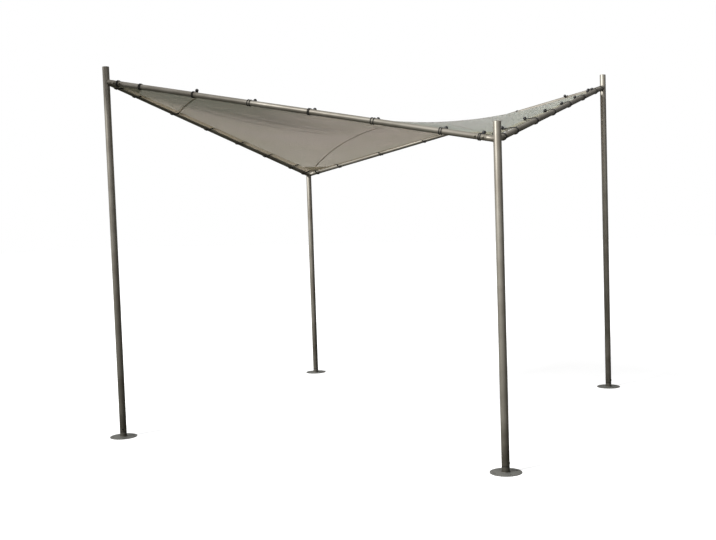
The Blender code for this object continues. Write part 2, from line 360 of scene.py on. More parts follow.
def make_elastic():
    elastic = Finish("tie", roughness=0.7, sheen=0.2)
    place = elastic.place()
    yarns = elastic.node("TexVoronoi", {"feature": "F1"}, {"Vector": place, "Scale": 900.0})
    fuzz = elastic.cloud(place, 300.0)
    elastic.feed("Base Color", elastic.mix(yarns * 1.4 * fuzz, ELASTIC_BLACK, ELASTIC_GREY))
    elastic.bump(1 - yarns, 0.0004)
    return elastic.material


def make_ball_plastic():
    ball = Finish("tie_ball", roughness=0.35)
    place = ball.place()
    scuffs = ball.cloud(place, 350.0, detail=4.0).rise(0.6, 0.75)
    ball.feed("Base Color", ball.mix(scuffs * 0.4, BALL_BLACK, ELASTIC_GREY))
    ball.feed("Roughness", scuffs * 0.3 + 0.32)
    ball.bump(scuffs, 0.00004)
    return ball.material


CAP_PLASTIC = make_cap_plastic()
EYELET_ZINC = make_metal("eyelet", ZINC_BRIGHT, ZINC_DULL, 0.3)
BOLT_ZINC = make_metal("bolt", BOLT_BRIGHT, BOLT_DULL, 0.45)
SCREW_STEEL = make_metal("screw", SCREW_LIGHT, SCREW_DARK, 0.45)
ELASTIC = make_elastic()
BALL_PLASTIC = make_ball_plastic()
print("finishes so far:", [finish.name for finish in bpy.data.materials])

# %% [markdown]
# ## Tools for turned steel
# Most hard pieces are turned: posts, beams, caps, feet, bolts. Each is a half profile spun once round Z.
# Doubled points are merged, and the normals are worked out anew, because a profile drawn the other way
# round comes out inside out. Sharp rings get a small bevel, which catches the light as real edges do.

# %% Spin, bevel and finish
ROUND_STEPS = 64
SHARP_ANGLE = radians(35)
MERGE = 0.000005


def clean(bm):
    """Merges doubled points and turns every face outward."""
    bmesh.ops.remove_doubles(bm, verts=bm.verts, dist=MERGE)
    bmesh.ops.recalc_face_normals(bm, faces=bm.faces)
    return bm


def spin_profile(profile, steps=ROUND_STEPS, closed=False):
    """Points of (radius, height) spun round Z: closed for a tube, open from axis to axis for a solid."""
    bm = bmesh.new()
    points = [bm.verts.new((radius, 0.0, height)) for radius, height in profile]
    following = points[1:] + points[:1] if closed else points[1:]
    for start, end in zip(points, following):
        bm.edges.new((start, end))
    bmesh.ops.spin(bm, geom=bm.verts[:] + bm.edges[:], cent=(0, 0, 0), axis=(0, 0, 1), dvec=(0, 0, 0),
                   angle=2 * pi, steps=steps, use_merge=True, use_duplicate=False)
    return clean(bm)


def soften(bm, width, segments=2):
    """Bevels every edge that is sharper than the facets of a round."""
    sharp = [edge for edge in bm.edges if edge.is_manifold and edge.calc_face_angle() > SHARP_ANGLE]
    bmesh.ops.bevel(bm, geom=sharp, offset=width, segments=segments, profile=0.5, affect="EDGES",
                    material=-1, clamp_overlap=True)
    return bm


def put(bm, matrix):
    bmesh.ops.transform(bm, matrix=matrix, verts=bm.verts)
    return bm


def merge_into(bm, other):
    """Adds the faces of the other bmesh to this one, as a body of its own."""
    carrier = bpy.data.meshes.new("carrier")
    other.to_mesh(carrier)
    other.free()
    bm.from_mesh(carrier)
    bpy.data.meshes.remove(carrier)


def make_object(name, bm, material):
    """An object at the origin, with its place in its mesh."""
    mesh = bpy.data.meshes.new(name)
    bm.to_mesh(mesh)
    bm.free()
    mesh.materials.append(material)
    return add_object(name, mesh)


def finish_piece(name, bm, material, replaced=()):
    """Makes a piece of the gazebo, shades it, and hangs it on the frame."""
    piece = make_object(name, bm, material)
    piece.data.shade_smooth()
    piece.data.set_sharp_from_angle(angle=SHARP_ANGLE)
    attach(piece, "root")
    if replaced:
        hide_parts(*replaced)
    return piece


# %% [markdown]
# ## Posts and caps
# A post is a plain 50 mm tube on the foot's collar, with a hairline between them, and a moulded cap with a
# low crown closes its top. The wall is modelled too, because the rim of the tube shows under the cap.

# %% Posts and caps
TUBE_WALL = 0.0015
CUT_EDGE = 0.0005
CAP_LIP = 0.003


def make_tube(name, radius, start, end, matrix, replaced):
    """A plain tube round Z between two heights, put in its place."""
    bore = radius - TUBE_WALL
    profile = [(radius, start), (radius, end), (bore, end), (bore, start)]
    bm = put(soften(spin_profile(profile, closed=True), CUT_EDGE), matrix)
    return finish_piece(name, bm, FRAME_COAT, [replaced])


def make_post(corner):
    low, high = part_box(f"post_{corner}")
    return make_tube(f"tube_{corner}", POST_RADIUS, low.z, high.z, stand_at(corner), f"post_{corner}")


def make_cap(corner):
    """A crowned lid on a plug, with a shallow groove where the two meet the tube."""
    low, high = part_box(f"post_cap_{corner}")
    plug = POST_RADIUS - TUBE_WALL - 0.0004
    rim = high.z - CAP_LIP
    profile = [
        (0.0, high.z), (POST_RADIUS * 0.55, high.z - 0.0003), (POST_RADIUS * 0.85, high.z - 0.0009),
        (POST_RADIUS - 0.0004, high.z - 0.0019), (POST_RADIUS, rim + 0.0003), (plug, rim + 0.0003),
        (plug, low.z + 0.001), (plug - 0.001, low.z), (0.0, low.z),
    ]
    bm = soften(spin_profile(profile), 0.0002)
    put(bm, stand_at(corner))
    return finish_piece(f"lid_{corner}", bm, CAP_PLASTIC, [f"post_cap_{corner}"])


posts = [make_post(corner) for corner in CORNERS]
caps = [make_cap(corner) for corner in CORNERS]
print("faces of a post:", len(posts[0].data.polygons), "and of a cap:", len(caps[0].data.polygons))

# %% [markdown]
# ## Foot plates
# Each foot is a laser-cut disc with four anchor holes, and a short turned collar welded to its middle. The
# disc is drawn flat, as a circle round four small ones, filled, and extruded by the plate's thickness. A
# bevel gives its edge the softness that powder coat leaves on cut steel.

# %% Foot plates and collars
PLATE_BEVEL = 0.0009
HOLE_CIRCLE = 0.075
HOLE_RADIUS = 0.007
HOLE_STEPS = 32
SPIGOT_RADIUS = POST_RADIUS - TUBE_WALL - 0.0005
SPIGOT_WALL = 0.002


def make_plate(radius):
    bm = bmesh.new()
    bmesh.ops.create_circle(bm, radius=radius, segments=2 * ROUND_STEPS)
    for quarter in range(4):
        angle = pi / 2 * (quarter + 0.5)
        spot = Matrix.Translation((HOLE_CIRCLE * cos(angle), HOLE_CIRCLE * sin(angle), 0.0))
        bmesh.ops.create_circle(bm, radius=HOLE_RADIUS, segments=HOLE_STEPS, matrix=spot)
    bmesh.ops.triangle_fill(bm, use_beauty=True, edges=bm.edges)
    bmesh.ops.dissolve_limit(bm, angle_limit=0.01, verts=bm.verts, edges=bm.edges)
    extruded = bmesh.ops.extrude_face_region(bm, geom=bm.faces[:])["geom"]
    top = [item for item in extruded if isinstance(item, bmesh.types.BMVert)]
    bmesh.ops.translate(bm, verts=top, vec=(0.0, 0.0, PLATE_TOP))
    bmesh.ops.recalc_face_normals(bm, faces=bm.faces)
    return soften(bm, PLATE_BEVEL, segments=3)


def make_foot(corner):
    low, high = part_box(f"foot_{corner}")
    bm = make_plate((high.x - low.x) / 2)
    inner = SPIGOT_RADIUS - SPIGOT_WALL
    collar = [
        (POST_RADIUS, PLATE_TOP / 2), (POST_RADIUS, COLLAR_TOP), (SPIGOT_RADIUS, COLLAR_TOP),
        (SPIGOT_RADIUS, high.z), (inner, high.z), (inner, PLATE_TOP / 2),
    ]
    merge_into(bm, soften(spin_profile(collar, closed=True), CUT_EDGE))
    put(bm, stand_at(corner))
    return finish_piece(f"plate_{corner}", bm, FOOT_COAT, [f"foot_{corner}"])


feet = [make_foot(corner) for corner in CORNERS]
print("feet:", [len(foot.data.polygons) for foot in feet])

# %% [markdown]
# ## Beams
# The four beams are the same straight 38 mm tube, from 65 mm off one post's axis to 65 mm off the next,
# where it butts against the socket's shoulder. One matrix lays each along its slope.

# %% Beams
SOCKET_REACH = 0.065
BEAM_GAP = 0.0003


def make_beam(side):
    high, low = [JOINTS[corner] for corner in SIDES[side]]
    start = SOCKET_REACH + BEAM_GAP
    end = (low - high).length - start
    along = Matrix.Translation(high) @ turn_to(low - high)
    return make_tube(f"rail_{side}", BEAM_RADIUS, start, end, along, f"beam_{side}")


beams = [make_beam(side) for side in SIDES]
print("beams:", [len(beam.data.polygons) for beam in beams])

# %% [markdown]
# ## Sockets with welded mouths
# Two short tubes are welded to each post, one for each beam. Where round meets round, the tube's end is cut
# to a fish mouth: the ring of points at that end slides along the tube until it lies on the post, which is
# one square root for each point.

# %% Sockets
SOCKET_WALL = 0.002
SPIGOT_REACH = 0.165
SINK = 0.0006


def mouth_reach(offset, direction):
    """How far along the socket's direction a point of its ring meets the post's surface."""
    flat = Vector((direction.x, direction.y, 0.0))
    ahead = flat.normalized()
    forward = offset.dot(ahead)
    aside = (Vector((offset.x, offset.y, 0.0)) - forward * ahead).length
    return (sqrt(POST_RADIUS ** 2 - aside ** 2) - forward) / flat.length


def make_socket(side, level):
    joint, direction = beam_end(side, level)
    spigot = BEAM_RADIUS - TUBE_WALL - BEAM_GAP
    bore = spigot - SOCKET_WALL
    profile = [(spigot, SPIGOT_REACH), (spigot, SOCKET_REACH), (BEAM_RADIUS, SOCKET_REACH),
               (BEAM_RADIUS, 0.0), (bore, 0.0), (bore, SPIGOT_REACH)]
    bm = spin_profile(profile, closed=True)
    mouth = [vert for vert in bm.verts if abs(vert.co.z) < MERGE]
    turn = turn_to(direction)
    for vert in mouth:
        vert.co.z = mouth_reach(turn @ vert.co, direction) - SINK
    soften(bm, CUT_EDGE)
    put(bm, Matrix.Translation(joint) @ turn)
    return finish_piece(f"sleeve_{side}_{level}", bm, FRAME_COAT, [f"socket_{side}_{level}"])


ENDS = [(side, level) for side in SIDES for level in ("high", "low")]
sockets = [make_socket(side, level) for side, level in ENDS]
print("sockets:", len(sockets), "of", len(sockets[0].data.polygons), "faces")

# %% [markdown]
# ## Weld beads
# A bead is a thin closed cord of metal along the joint, with the small ripples of a welder's hand. A curve
# is the natural tool, because its bevel can swell and shrink from point to point. It is then made a mesh
# like everything else here.

# %% Weld beads
WELD_POINTS = 72
WELD_THICKNESS = 0.0028
FOOT_WELD_RADIUS = POST_RADIUS + 0.0012
FOOT_WELD_HEIGHT = PLATE_TOP + 0.0012
RIPPLES = 36
RIPPLE_DEPTH = 0.13
UNEVENNESS = 0.2


def tube_along(points, radius, radii=None, cyclic=False, sides=2):
    """A mesh tube round a line of points, with ends closed. A number for each point can swell it."""
    curve = bpy.data.curves.new("cord", "CURVE")
    curve.dimensions = "3D"
    curve.bevel_depth = radius
    curve.bevel_resolution = sides
    curve.use_fill_caps = True
    spline = curve.splines.new("POLY")
    spline.points.add(len(points) - 1)
    for number, place in enumerate(points):
        spline.points[number].co = (*place, 1.0)
        spline.points[number].radius = radii[number] if radii else 1.0
    spline.use_cyclic_u = cyclic
    holder = add_object("cord", curve)
    mesh = bpy.data.meshes.new_from_object(holder.evaluated_get(bpy.context.evaluated_depsgraph_get()))
    bpy.data.objects.remove(holder)
    bpy.data.curves.remove(curve)
    bm = bmesh.new()
    bm.from_mesh(mesh)
    bpy.data.meshes.remove(mesh)
    return clean(bm)


def circle_points(radius):
    """Points of a level circle round Z."""
    angles = [2 * pi * number / WELD_POINTS for number in range(WELD_POINTS)]
    return [Vector((radius * cos(angle), radius * sin(angle), 0.0)) for angle in angles]


def bead(points, seed):
    """A rippled cord of weld round a closed line. The seed makes each bead uneven in its own way."""
    radii = []
    for number in range(WELD_POINTS):
        wave = sin(2 * pi * RIPPLES * number / WELD_POINTS)
        lump = noise.noise(Vector((number * 0.35, seed, 0.0)))
        radii.append(1.0 + RIPPLE_DEPTH * wave + UNEVENNESS * lump)
    return tube_along(points, WELD_THICKNESS, radii, cyclic=True)


def socket_weld(side, level, seed):
    joint, direction = beam_end(side, level)
    offsets = [turn_to(direction) @ offset for offset in circle_points(BEAM_RADIUS)]
    return bead([joint + offset + direction * mouth_reach(offset, direction) for offset in offsets], seed)


def foot_weld(corner, seed):
    matrix = stand_at(corner) @ Matrix.Translation((0.0, 0.0, FOOT_WELD_HEIGHT))
    return bead([matrix @ point for point in circle_points(FOOT_WELD_RADIUS)], seed)


socket_beads = bmesh.new()
for seed, (side, level) in enumerate(ENDS):
    merge_into(socket_beads, socket_weld(side, level, seed))
finish_piece("socket_welds", socket_beads, FRAME_COAT)
foot_beads = bmesh.new()
for seed, corner in enumerate(CORNERS):
    merge_into(foot_beads, foot_weld(corner, 10 + seed))
finish_piece("foot_welds", foot_beads, FOOT_COAT)
print("welds:", len(ENDS) + len(CORNERS))

# %% [markdown]
# ## Bolts
# Two bolts hold each beam on its socket, through the tube from side to side. Their heads are domed hexagons
# on washers. A hexagon is a spin of six steps, so a bolt is a few spins stacked on one axis. One dark screw
# with a button head holds each post on its foot, facing its own way, as in the photograph.

# %% Bolts
WASHER = (0.0075, 0.0012)
HEX_RADIUS = 0.0058
HEX_HEIGHT = 0.0045
DOME_RADIUS = HEX_RADIUS * 0.82
DOME_HEIGHT = 0.0022
SHANK_RADIUS = 0.003
THREAD_END = 0.003
BEAM_BOLTS = (0.088, 0.14)
SCREW_LEVEL = 0.059
SCREW_RADIUS = 0.0058
SCREW_SOCKET = 0.0024
SOCKET_FLOOR = 0.0008
SCREW_HEIGHT = 0.0034
SEAT_DEPTH = 0.002
SCREW_ANGLES = {"front_left": -57, "front_right": 18, "back_right": 27, "back_left": 110}


def quarter_round(inner, outer, bottom, height, steps):
    """The curve of a dome's profile, from its top down to its rim."""
    angles = [pi / 2 * step / steps for step in range(steps + 1)]
    return [(inner + (outer - inner) * sin(angle), bottom + height * cos(angle)) for angle in angles]


def make_disc(radius, bottom, top, steps, bevel):
    """A round solid with softened rims. Six steps make it a hexagon."""
    return soften(spin_profile([(0.0, bottom), (radius, bottom), (radius, top), (0.0, top)], steps), bevel)


def bolt_side(is_head):
    """One end of a bolt, standing up from Z = 0: washer and hexagon, with a dome or the thread's end."""
    radius, thickness = WASHER
    top = thickness + HEX_HEIGHT
    bm = make_disc(radius, -SEAT_DEPTH, thickness, 32, 0.0003)
    merge_into(bm, make_disc(HEX_RADIUS, thickness, top, 6, 0.0005))
    if is_head:
        dome = quarter_round(0.0, DOME_RADIUS, top, DOME_HEIGHT, 5) + [(0.0, top - 0.0005)]
        merge_into(bm, spin_profile(dome, steps=32))
    else:
        merge_into(bm, make_disc(SHANK_RADIUS, top, top + THREAD_END, 24, 0.0004))
    return bm


def bolt_through(middle, outward, spin_angle):
    """A head on one side of a beam and a nut on the other."""
    bm = bmesh.new()
    spun = Matrix.Rotation(spin_angle, 4, "Z")
    for is_head, way in ((True, outward), (False, -outward)):
        seat = Matrix.Translation(middle + way * BEAM_RADIUS)
        merge_into(bm, put(bolt_side(is_head), seat @ turn_to(way) @ spun))
    return bm


beam_bolts = bmesh.new()
for number, (side, level) in enumerate(ENDS):
    joint, direction = beam_end(side, level)
    for step, reach in enumerate(BEAM_BOLTS):
        middle = joint + direction * reach
        merge_into(beam_bolts, bolt_through(middle, outward_of(side), number + step))
finish_piece("beam_bolts", beam_bolts, BOLT_ZINC)


def make_screw():
    """A button head with a socket for a hexagon key, standing up from Z = 0."""
    profile = [(0.0, SOCKET_FLOOR), (SCREW_SOCKET, SOCKET_FLOOR)]
    profile += quarter_round(SCREW_SOCKET, SCREW_RADIUS, 0.0, SCREW_HEIGHT, 6)
    profile += [(SCREW_RADIUS, -SEAT_DEPTH), (0.0, -SEAT_DEPTH)]
    return spin_profile(profile, steps=30)


foot_screws = bmesh.new()
for corner, angle in SCREW_ANGLES.items():
    way = Vector((cos(radians(angle)), sin(radians(angle)), 0.0))
    seat = Matrix.Translation(way * POST_RADIUS + UP * SCREW_LEVEL)
    merge_into(foot_screws, put(make_screw(), stand_at(corner) @ seat @ turn_to(way)))
finish_piece("foot_screws", foot_screws, SCREW_STEEL)
print("bolts:", len(ENDS) * len(BEAM_BOLTS), "screws:", len(SCREW_ANGLES))

# %% [markdown]
# ## The sail's cloth
# The sail is coated polyester: fine yarns both ways, a soft grey taupe, greener in random patches, with a
# painted greenish shade towards the hems, and seams sewn with two rows of stitches. A stronger painted
# greenish shade lies along the front near the left corner, and a fainter one at the back left. The rolls of
# cloth, about a metre and a half wide, run along the line between the two low corners, so the pattern
# follows
# the cloth and not the room: each point of the sheet keeps its place on the flat cutting table in an
# attribute, and the patterns below read that.

# %% Sizes on the cutting table
HEM_OUTER = 0.042
HEM_WIDTH = 0.042
CORNER_CUT = 0.05
SHEET_HALF = HALF_SIDE - HEM_OUTER
HEM_INNER = SHEET_HALF - HEM_WIDTH
SEAM_STEP = 1.527
SEAM_HALF_WIDTH = 0.007
PATCH_LEG = 0.26
ROOT_HALF = sqrt(0.5)
STITCH_LENGTH = 0.0042
STITCH_WIDTH = 0.0007

# %% [markdown]
# The weave is two crossed sine waves, turned to lie along the rolls, with thicker slubs here and there.
# Stitches are dashes: a narrow band beside the seam or hem, cut up by a wave along it. `across` grows from
# the front left corner to the back right one, and `along` from the back left to the front right.

# %% The cloth's finish
UNDER_COLOUR = (133, 131, 127)
UNDER_GREEN = (124, 127, 115)
HEM_COLOUR = (132, 128, 113)
HEM_GREEN = (122, 120, 101)
# The colour of the painted greenish shade bands on the sail.
BAND_SHADE_GREEN = (114, 122, 112)
SLUB_COLOUR = (141, 138, 128)
HEM_GLOW_DEPTH = 0.02
THREAD_COLOUR = (108, 103, 90)
YARN = 0.0009
STITCH_INSET = 0.004
SEAM_ROW = SEAM_HALF_WIDTH - 0.003
WEAVE_DEPTH = 0.0001


def dashes(offset, along):
    """A row of stitches where the offset from its line is small."""
    line = abs(offset) < STITCH_WIDTH
    cut = (along * (2 * pi / STITCH_LENGTH)).sine().rise(-0.75, -0.45)
    return line * cut


def make_cloth(name, light, edge, glow_depth):
    cloth = Finish(name, roughness=0.82, sheen=0.08, specular=0.2, glow=1.0)
    cloth.shader.inputs["Subsurface Scale"].default_value = glow_depth
    flat = cloth.node("Attribute", {"attribute_name": "cloth_flat"}, {}, output="Vector")
    x, y, _ = cloth.split(flat)
    place = cloth.place()
    across = (x + y) * ROOT_HALF
    along = (x - y) * ROOT_HALF
    from_edge = SHEET_HALF - cloth.maths("MAXIMUM", abs(x), abs(y))
    mottle = cloth.cloud(place, 2.2, detail=4.0)
    fine = cloth.cloud(place, 60.0, detail=4.0, roughness=0.65)
    slub = cloth.cloud(cloth.stretch(flat, (60.0, 900.0, 1.0)), 1.0, detail=2.0)
    # Painted greenish shade towards the hems, plus greener random mottle.
    shade_and_mottle = from_edge.rise(0.6, 0.02) * 0.5 + mottle.rise(0.35, 0.7) * 0.4
    # Painted greenish shade: a band along the front near the left corner, and a fainter one at the back
    # left.
    band_shade = along.rise(-0.3, 0.1) * (across * -1).rise(0.6, 1.6) * 0.9 + along.rise(-1.05, -1.3) * 0.25
    base = cloth.mix(shade_and_mottle, light, edge)
    base = cloth.mix(band_shade, base, BAND_SHADE_GREEN)
    base = cloth.mix(fine * 0.22, base, edge)
    base = cloth.mix(slub.rise(0.55, 0.8) * 0.16, base, SLUB_COLOUR)
    warp = (across * (2 * pi / YARN)).sine()
    weft = (along * (2 * pi / YARN)).sine()
    weave = warp * weft
    base = cloth.mix(weave * 0.06 + 0.06, base, THREAD_COLOUR)
    beside = cloth.maths("MINIMUM", abs(x), abs(y))
    stitches = dashes(from_edge - STITCH_INSET, beside)
    stitches += dashes(from_edge - (HEM_WIDTH - STITCH_INSET), beside)
    for seam in (-1, 0, 1):
        for row in (-1, 1):
            stitches += dashes(across - (seam * SEAM_STEP + row * SEAM_ROW), along)
        fold = abs(across - seam * SEAM_STEP).rise(SEAM_HALF_WIDTH, SEAM_HALF_WIDTH * 0.6)
        base = cloth.mix(fold * 0.35, base, THREAD_COLOUR)
    stitches = cloth.maths("MINIMUM", stitches, 1.0)
    base = cloth.mix(stitches * 0.6, base, THREAD_COLOUR)
    soil = cloth.cloud(place, 18.0, detail=4.0).rise(0.5, 0.8)
    base = cloth.mix(soil * from_edge.rise(0.1, 0.0) * 0.3, base, THREAD_COLOUR)
    cloth.feed("Base Color", base)
    cloth.feed("Roughness", fine * 0.12 + 0.74)
    cloth.bump(weave * 0.05 + slub * 0.04 + stitches, WEAVE_DEPTH)
    return cloth.material


SAIL_CLOTH = make_cloth("sail", UNDER_COLOUR, UNDER_GREEN, GLOW_DEPTH)
HEM_CLOTH = make_cloth("hem", HEM_COLOUR, HEM_GREEN, HEM_GLOW_DEPTH)
print("cloth:", SAIL_CLOTH.name, HEM_CLOTH.name)

# %% [markdown]
# ## Cutting the sheet
# The sheet starts flat, as a grid on the cutting table. Planes cut edges into it where the hems, the seams
# and the corner patches begin, and take away the tips of the four corners. Later each doubled piece is a
# copy of these same faces, so it lies exactly on the sheet.

# %% The flat sheet
SHEET_CELLS = 150
SEAM_WAY = Vector((1.0, 1.0, 0.0)).normalized()
CORNER_WAYS = [Vector((x, y, 0.0)).normalized() for x in (-1, 1) for y in (-1, 1)]


def cut_line(bm, point, normal, clear=False):
    bmesh.ops.bisect_plane(bm, geom=bm.verts[:] + bm.edges[:] + bm.faces[:], dist=MERGE,
                           plane_co=point, plane_no=normal, clear_outer=clear)


def corner_point(way, leg):
    """A point of the edge, this far before the corner that lies this way."""
    return Vector((copysign(SHEET_HALF, way.x), copysign(SHEET_HALF - leg, way.y), 0.0))


def make_flat_sheet():
    bm = bmesh.new()
    bmesh.ops.create_grid(bm, x_segments=SHEET_CELLS, y_segments=SHEET_CELLS, size=SHEET_HALF)
    for way in CORNER_WAYS:
        cut_line(bm, corner_point(way, CORNER_CUT), way, clear=True)
        cut_line(bm, corner_point(way, PATCH_LEG), way)
    for x, y in ((1, 0), (-1, 0), (0, 1), (0, -1)):
        way = Vector((x, y, 0))
        cut_line(bm, way * HEM_INNER, way)
    for y in (1, -1):
        cut_line(bm, Vector(), Vector((1, y, 0)))
    for seam in (-1, 0, 1):
        for edge in (-1, 1):
            cut_line(bm, SEAM_WAY * (seam * SEAM_STEP + edge * SEAM_HALF_WIDTH), SEAM_WAY)
    flat = bm.verts.layers.float_vector.new("cloth_flat")
    for vert in bm.verts:
        vert[flat] = vert.co
    return bm


# %% [markdown]
# ## Tying places
# Eight ties hold each side: one near each corner and six evenly between. Their places are worked out once,
# as fractions of the beam's length, and serve the cloth, the eyelets and the elastic.

# %% Ties along a side
TIE_CORNER = 0.037
TIE_FIRST = 0.105
TIE_LAST = 0.879
TIES_BETWEEN = 6
TIE_REACH = 0.063

tie_step = (TIE_LAST - TIE_FIRST) / (TIES_BETWEEN - 1)
between = [TIE_FIRST + tie_step * number for number in range(TIES_BETWEEN)]
TIE_PLACES = [2 * HALF_SIDE * (fraction - 0.5) for fraction in (TIE_CORNER, *between, 1 - TIE_CORNER)]
print("ties to a side:", len(TIE_PLACES), "at", [round(place, 3) for place in TIE_PLACES])

# %% [markdown]
# ## Draping the saddle
# Between four straight edges, a tight sheet takes the saddle `z = middle + rise * x * y`. Real cloth adds
# small things, point by point: its middle sags by 40 mm, its edge draws in between two ties, short puckers
# run in from each eyelet, and two shallow creases from each high corner, where the pull is strongest. The
# left hem hangs a little lower at its outer edge.

# %% The draped sheet
SAIL_SAG = 0.04
SOFTNESS = 0.003
SCALLOP = 0.004
SCALLOP_REACH = 0.12
PUCKER = 0.0022
PUCKER_REACH = 0.09
LEFT_DROOP = 0.009
CREASE_DEPTH = 0.006
CREASE_WIDTH = 0.05
CREASE_END = 1.2
CREASES = (((-1.38, -1.40), (-0.58, -0.05)), ((-1.04, -1.38), (-0.42, -0.15)))


def saddle(x, y):
    """The surface that the straight beams span, with the cloth's own sag towards its middle."""
    sag = SAIL_SAG * (1 - (x / SHEET_HALF) ** 2) * (1 - (y / SHEET_HALF) ** 2)
    return (HIGH + LOW) / 2 + (HIGH - LOW) / 2 * x * y / HALF_SIDE ** 2 - sag


def between_ties(place):
    """0 at a tie and 1 halfway to the next one, along a side."""
    for start, end in zip(TIE_PLACES, TIE_PLACES[1:]):
        if start <= place <= end:
            span = (end - start) / (TIE_PLACES[2] - TIE_PLACES[1])
            return span * (1 - cos(2 * pi * (place - start) / (end - start))) / 2
    return 0.0


def creases(x, y):
    """Soft valleys that run in from the two high corners, and a little past their ends."""
    height = 0.0
    for sign in (-1, 1):
        point = Vector((x, y)) * sign
        for start, end in CREASES:
            way = Vector(end) - Vector(start)
            share = (point - Vector(start)).dot(way) / way.length_squared
            if 0 < share < CREASE_END:
                aside = (point - Vector(start)).cross(way) / way.length
                strength = sin(pi * share / CREASE_END)
                height -= CREASE_DEPTH * strength * exp(-(aside / CREASE_WIDTH) ** 2)
    return height


def drape(flat):
    """A point of the flat sheet, where it hangs in the frame."""
    hung = [flat.x, flat.y]
    lift = 0.0
    for axis in (1, 0):
        place, other = flat[axis], flat[1 - axis]
        depth = SHEET_HALF - abs(place)
        pull = between_ties(other)
        hung[axis] -= copysign(SCALLOP * pull * exp(-depth / SCALLOP_REACH), place)
        lift -= PUCKER * (pull - 0.5) * exp(-depth / PUCKER_REACH)
    soft = noise.noise(Vector((flat.x * 1.6, flat.y * 1.6, 3.0))) * SOFTNESS
    droop = LEFT_DROOP * max(0.0, 1 - (SHEET_HALF + flat.x) / HEM_WIDTH)
    return Vector((*hung, saddle(*hung) + lift + creases(flat.x, flat.y) + soft - droop))


sheet_mesh = make_flat_sheet()
for vert in sheet_mesh.verts:
    vert.co = drape(vert.co)
area = sum(face.calc_area() for face in sheet_mesh.faces)
print("sheet:", len(sheet_mesh.faces), "faces,", round(area, 3), "m2")

# %% [markdown]
# ## Sail, seams, hems and corner patches
# The sail is the whole sheet. Where it is doubled, at a seam, a patch or a hem folded back on itself, a
# copy of the sheet keeps only the faces there and gets more thickness from a Solidify modifier. So a step
# shows where it begins, as on real cloth.

# %% Layers of cloth
CLOTH_THICKNESS = 0.0008
SEAM_THICKNESS = 0.0014
HEM_THICKNESS = 0.0018
PATCH_THICKNESS = 0.0022


def make_layer(name, keep, thickness, material, replaced=()):
    """A copy of the sheet's faces that the rule keeps, as a solid of this thickness."""
    bm = sheet_mesh.copy()
    flat = bm.verts.layers.float_vector["cloth_flat"]

    def middle(face):
        return sum((vert[flat] for vert in face.verts), Vector()) / len(face.verts)

    dropped = [face for face in bm.faces if not keep(middle(face))]
    bmesh.ops.delete(bm, geom=dropped, context="FACES")
    piece = finish_piece(name, bm, material, replaced)
    solid = piece.modifiers.new("thickness", "SOLIDIFY")
    solid.thickness = thickness
    solid.offset = 0.0
    return piece


def on_seam(point):
    across = point.dot(SEAM_WAY)
    near = min(abs(across - seam * SEAM_STEP) for seam in (-1, 0, 1)) < SEAM_HALF_WIDTH
    return near and max(abs(point.x), abs(point.y)) < HEM_INNER


def on_hem(side):
    way = outward_of(side)

    def keep(point):
        reach = point.dot(way)
        return reach > HEM_INNER and reach >= abs(point.cross(way).z)
    return keep


def on_patch(point):
    inside = max(abs(point.x), abs(point.y)) < HEM_INNER
    return inside and abs(point.x) + abs(point.y) > 2 * SHEET_HALF - PATCH_LEG


sail = make_layer("sail_cloth", lambda point: True, CLOTH_THICKNESS, SAIL_CLOTH, ["sail"])
seams = make_layer("sail_seams", on_seam, SEAM_THICKNESS, SAIL_CLOTH)
patches = make_layer("corner_patches", on_patch, PATCH_THICKNESS, HEM_CLOTH)
hems = [make_layer(f"fold_{side}", on_hem(side), HEM_THICKNESS, HEM_CLOTH, [f"hem_{side}"])
        for side in SIDES]
print("layers:", [(piece.name, len(piece.data.polygons)) for piece in [sail, seams, patches] + hems])

# %% [markdown]
# ## Eyelets
# Each tie passes through a pressed metal eyelet in the hem, a ring with a rounded lip above and below the
# cloth. It is spun from a closed outline, like a very short tube with a collar.

# %% Eyelets
EYELET_OUTER = 0.0115
EYELET_INNER = 0.0062
EYELET_LIP = 0.0013


def cloth_frame(side, place):
    """A tie's point of the beam's axis, its seat in the hem, and the ways along the beam, inward and up."""
    high, low = [JOINTS[corner] for corner in SIDES[side]]
    point = high.lerp(low, place / (2 * HALF_SIDE) + 0.5)
    along = (low - high).normalized()
    inward = -outward_of(side)
    up = inward.cross(along)
    if up.z < 0:
        up.negate()
    return point, drape(point + inward * TIE_REACH), along, inward, up


def make_eyelet():
    half = HEM_THICKNESS / 2
    lower = [(EYELET_OUTER, -half), (EYELET_OUTER, -half - 0.0004),
             (EYELET_OUTER - 0.002, -half - EYELET_LIP), (EYELET_INNER, -half - EYELET_LIP)]
    upper = [(radius, -height) for radius, height in reversed(lower)]
    return soften(spin_profile(lower + upper, steps=32, closed=True), 0.0003)


eyelets = bmesh.new()
for side in SIDES:
    for place in TIE_PLACES:
        _, seat, _, inward, up = cloth_frame(side, place)
        turn = Matrix((inward.cross(up), inward, up)).transposed().to_4x4()
        merge_into(eyelets, put(make_eyelet(), Matrix.Translation(seat) @ turn))
finish_piece("eyelets", eyelets, EYELET_ZINC)
print("eyelets:", 4 * len(TIE_PLACES))

# %% [markdown]
# ## Elastic ball ties
# A ball tie is a loop of 5 mm elastic with both ends knotted inside a black ball. The doubled loop goes
# down through the eyelet, under the beam, up its outer side and back over the top, and hooks behind the
# ball. Its route is the places it has to pass, smoothed by a spline. No two hang quite alike: each ball has
# its own distance from the beam and height over the hem, and one at the back hangs under it. The numbers
# run from the high corner to the low one.

